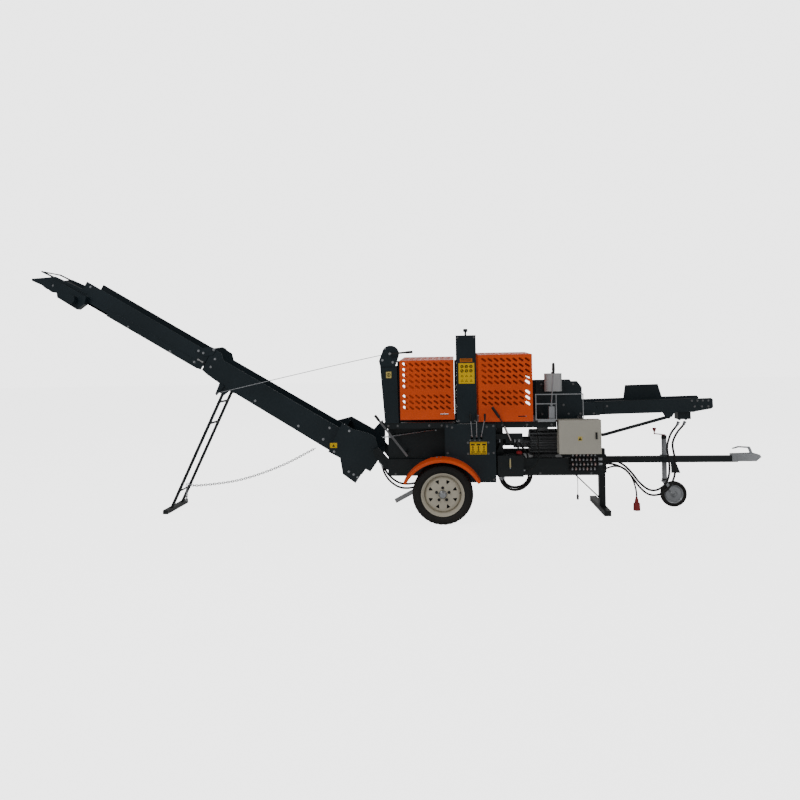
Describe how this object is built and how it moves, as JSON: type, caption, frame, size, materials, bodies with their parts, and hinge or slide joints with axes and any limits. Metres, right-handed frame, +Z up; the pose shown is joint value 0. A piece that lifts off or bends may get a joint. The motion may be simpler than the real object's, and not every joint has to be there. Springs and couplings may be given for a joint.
{
  "type": "towable firewood processor",
  "caption": "Towable firewood processor: log infeed, guarded chain saw, hydraulic splitter and long folding discharge conveyor on a single axle.",
  "frame": {"origin": "On the ground under the middle of the machine's overall box, at rest on its wheels, stabiliser and conveyor leg.", "axes": "+X towards the towing eye, -Y the operator's side, +Z up."},
  "size_m": [7.205, 1.52, 2.4565],
  "materials": {
    "black_paint": "dark gunmetal gloss paint",
    "slate_paint": "dark slate gloss paint",
    "orange_paint": "orange powder coat",
    "cream_paint": "cream rim paint",
    "beige_paint": "grey-beige cabinet paint",
    "grey_paint": "grey tube paint",
    "zinc": "zinc plated steel",
    "bright_steel": "ground and worn bare steel",
    "cast_iron": "dark cast housing",
    "rubber": "black hose and cable rubber",
    "belt": "dull conveyor belting",
    "tyre": "black tyre rubber",
    "red_plastic": "dark red plastic",
    "black_plastic": "black plastic",
    "grey_plastic": "pale grey plastic"
  },
  "bodies": {
    "chassis": {"main_frame": "black_paint", "upper_frame": "black_paint", "fender_near": "orange_paint", "fender_far": "orange_paint", "coupling_head": "zinc", "jockey_tube": "grey_paint", "oil_tank": "black_paint", "valve_cover": "slate_paint", "electric_motor": "cast_iron", "ram_cylinder": "black_paint", "saw_tower": "slate_paint", "control_box": "beige_paint", "hose_manifold": "zinc", "winch_post": "slate_paint", "infeed_chute": "slate_paint", "lever_cage": "zinc", "oil_canister": "grey_plastic", "winch_cable": "zinc", "infeed_hose": "rubber", "conveyor_hose": "rubber", "power_lead": "rubber", "power_plug": "red_plastic"},
    "wheel_near": {"tyre_near": "tyre", "rim_near": "cream_paint"},
    "wheel_far": {"tyre_far": "tyre", "rim_far": "cream_paint"},
    "coupling_lever": {"coupling_lever": "zinc"},
    "jockey_stem": {"jockey_stem": "zinc"},
    "jockey_fork": {"jockey_fork": "zinc"},
    "jockey_wheel": {"jockey_wheel": "tyre"},
    "jockey_crank": {"jockey_crank": "red_plastic"},
    "stabiliser": {"stabiliser_leg": "black_paint"},
    "rear_prop": {"rear_prop": "grey_paint"},
    "tank_cap": {"tank_cap": "red_plastic"},
    "valve_lever_1": {"valve_lever_1": "zinc"},
    "valve_lever_2": {"valve_lever_2": "zinc"},
    "valve_lever_3": {"valve_lever_3": "zinc"},
    "ram": {"ram_pusher": "bright_steel"},
    "wedge": {"splitting_wedge": "bright_steel"},
    "wedge_lever": {"wedge_lever": "zinc"},
    "lock_lever": {"lock_lever": "zinc"},
    "saw_bar": {"saw_bar": "bright_steel"},
    "saw_lever": {"saw_lever": "black_plastic"},
    "box_door": {"box_door": "beige_paint"},
    "box_latch": {"box_latch": "black_plastic"},
    "main_switch": {"main_switch": "black_plastic"},
    "guard_left": {"guard_left": "orange_paint"},
    "guard_right": {"guard_right": "orange_paint"},
    "winch_crank": {"winch_crank": "black_plastic"},
    "infeed": {"infeed_frame": "slate_paint", "infeed_belt": "belt"},
    "infeed_strut": {"infeed_strut": "black_paint"},
    "feed_lever": {"feed_lever": "zinc"},
    "conveyor_lower": {"conveyor_lower": "slate_paint", "belt_lower": "belt", "leg_chain": "zinc"},
    "conveyor_upper": {"conveyor_upper": "slate_paint", "belt_upper": "belt"},
    "head_drum": {"head_drum": "zinc"},
    "conveyor_leg": {"conveyor_leg": "black_paint"}
  },
  "joints": [
    {"name": "wheel_near_spin", "type": "hinge", "parent": "chassis", "child": "wheel_near", "pos_m": [0.55, -0.635, 0.275], "axis": [0, 1, 0], "continuous": true},
    {"name": "wheel_far_spin", "type": "hinge", "parent": "chassis", "child": "wheel_far", "pos_m": [0.55, 0.635, 0.275], "axis": [0, 1, 0], "continuous": true},
    {"name": "coupling_lever_lift", "type": "hinge", "parent": "chassis", "child": "coupling_lever", "pos_m": [3.525, 0, 0.518], "axis": [0, 1, 0], "range_deg": [0, 50]},
    {"name": "jockey_crank_turn", "type": "hinge", "parent": "chassis", "child": "jockey_crank", "pos_m": [2.717, 0.0585, 0.7], "axis": [0, 0, 1], "range_deg": [0, 12960]},
    {"name": "jockey_stem_wind", "type": "slide", "parent": "chassis", "child": "jockey_stem", "axis": [0, 0, 1], "range_m": [-0.18, 0]},
    {"name": "jockey_swivel", "type": "hinge", "parent": "jockey_stem", "child": "jockey_fork", "pos_m": [2.717, 0.0585, 0.25], "axis": [0, 0, 1], "continuous": true},
    {"name": "jockey_wheel_spin", "type": "hinge", "parent": "jockey_fork", "child": "jockey_wheel", "pos_m": [2.8, 0.0585, 0.126], "axis": [0, 1, 0], "continuous": true},
    {"name": "stabiliser_slide", "type": "slide", "parent": "chassis", "child": "stabiliser", "axis": [0, 0, 1], "range_m": [0, 0.18]},
    {"name": "rear_prop_swing", "type": "hinge", "parent": "chassis", "child": "rear_prop", "pos_m": [0.455, -0.32, 0.335], "axis": [0, -1, 0], "range_deg": [0, 17]},
    {"name": "tank_cap_turn", "type": "hinge", "parent": "chassis", "child": "tank_cap", "pos_m": [1.262, -0.42, 0.6], "axis": [0, 0, 1], "range_deg": [0, 720]},
    {"name": "valve_lever_1_swing", "type": "hinge", "parent": "chassis", "child": "valve_lever_1", "pos_m": [0.825, -0.478, 0.77], "axis": [1, 0, 0], "range_deg": [-4, 15], "stiffness_Nm_per_rad": 3},
    {"name": "valve_lever_2_swing", "type": "hinge", "parent": "chassis", "child": "valve_lever_2", "pos_m": [0.8685, -0.478, 0.77], "axis": [1, 0, 0], "range_deg": [-4, 15], "stiffness_Nm_per_rad": 3},
    {"name": "valve_lever_3_swing", "type": "hinge", "parent": "chassis", "child": "valve_lever_3", "pos_m": [0.912, -0.478, 0.77], "axis": [1, 0, 0], "range_deg": [-4, 15], "stiffness_Nm_per_rad": 3},
    {"name": "ram_stroke", "type": "slide", "parent": "chassis", "child": "ram", "axis": [1, 0, 0], "range_m": [-0.39, 0]},
    {"name": "wedge_lever_turn", "type": "hinge", "parent": "chassis", "child": "wedge_lever", "pos_m": [0.05, -0.345, 0.762], "axis": [0, 1, 0], "range_deg": [0, 14]},
    {"name": "wedge_lift", "type": "slide", "parent": "chassis", "child": "wedge", "axis": [0, 0, 1], "range_m": [0, 0.0625]},
    {"name": "lock_lever_turn", "type": "hinge", "parent": "chassis", "child": "lock_lever", "pos_m": [0.205, -0.466, 0.61], "axis": [0, -1, 0], "range_deg": [0, 30]},
    {"name": "saw_bar_swing", "type": "hinge", "parent": "chassis", "child": "saw_bar", "pos_m": [0.7825, -0.345, 0.855], "axis": [-1, 0, 0], "range_deg": [0, 80]},
    {"name": "saw_lever_swing", "type": "hinge", "parent": "chassis", "child": "saw_lever", "pos_m": [1.182, -0.505, 0.725], "axis": [0, 1, 0], "range_deg": [-6, 30], "stiffness_Nm_per_rad": 8},
    {"name": "feed_lever_swing", "type": "hinge", "parent": "chassis", "child": "feed_lever", "pos_m": [1.562, -0.446, 1.052], "axis": [0, 1, 0], "range_deg": [-14, 14], "stiffness_Nm_per_rad": 8},
    {"name": "box_door_swing", "type": "hinge", "parent": "chassis", "child": "box_door", "pos_m": [1.62, -0.484, 0.603], "axis": [0, 0, -1], "range_deg": [0, 110]},
    {"name": "box_latch_turn", "type": "hinge", "parent": "box_door", "child": "box_latch", "pos_m": [1.955, -0.5, 0.77], "axis": [0, 1, 0], "range_deg": [0, 90]},
    {"name": "main_switch_turn", "type": "hinge", "parent": "chassis", "child": "main_switch", "pos_m": [2, -0.42, 0.77], "axis": [1, 0, 0], "range_deg": [0, 90]},
    {"name": "guard_left_lift", "type": "hinge", "parent": "chassis", "child": "guard_left", "pos_m": [0.162, 0.2, 0.93], "axis": [-1, 0, 0], "range_deg": [0, 70]},
    {"name": "guard_right_lift", "type": "hinge", "parent": "chassis", "child": "guard_right", "pos_m": [0.89, 0.2, 0.905], "axis": [-1, 0, 0], "range_deg": [0, 70]},
    {"name": "winch_crank_turn", "type": "hinge", "parent": "chassis", "child": "winch_crank", "pos_m": [0.077, -0.43, 1.55], "axis": [0, 1, 0], "continuous": true},
    {"name": "infeed_fold", "type": "hinge", "parent": "chassis", "child": "infeed", "pos_m": [2.03, 0, 1.005], "axis": [0, -1, 0], "range_deg": [0, 75], "deforming": ["infeed_hose"]},
    {"name": "infeed_strut_swing", "type": "hinge", "parent": "infeed", "child": "infeed_strut", "pos_m": [2.693, -0.17, 0.905], "axis": [0, 1, 0], "range_deg": [0, 8]},
    {"name": "conveyor_tilt", "type": "hinge", "parent": "chassis", "child": "conveyor_lower", "pos_m": [-0.088, 0, 0.609], "axis": [0, 1, 0], "range_deg": [0, 38], "deforming": ["winch_cable", "conveyor_hose"]},
    {"name": "conveyor_fold", "type": "hinge", "parent": "conveyor_lower", "child": "conveyor_upper", "pos_m": [-1.73572, 0, 1.6144], "axis": [0, -1, 0], "range_deg": [-140, 0]},
    {"name": "head_drum_spin", "type": "hinge", "parent": "conveyor_upper", "child": "head_drum", "pos_m": [-3.38363, 0, 2.30423], "axis": [0, 1, 0], "continuous": true},
    {"name": "conveyor_leg_fold", "type": "hinge", "parent": "conveyor_lower", "child": "conveyor_leg", "pos_m": [-1.6371, 0, 1.19072], "axis": [0, -1, 0], "range_deg": [0, 80], "deforming": ["leg_chain"]}
  ],
  "couplings": [
    {"joint": "jockey_crank_turn", "follows": "jockey_stem_wind", "rad_per_m": -1256.6},
    {"joint": "wedge_lift", "follows": "wedge_lever_turn", "m_per_rad": 0.2546}
  ]
}
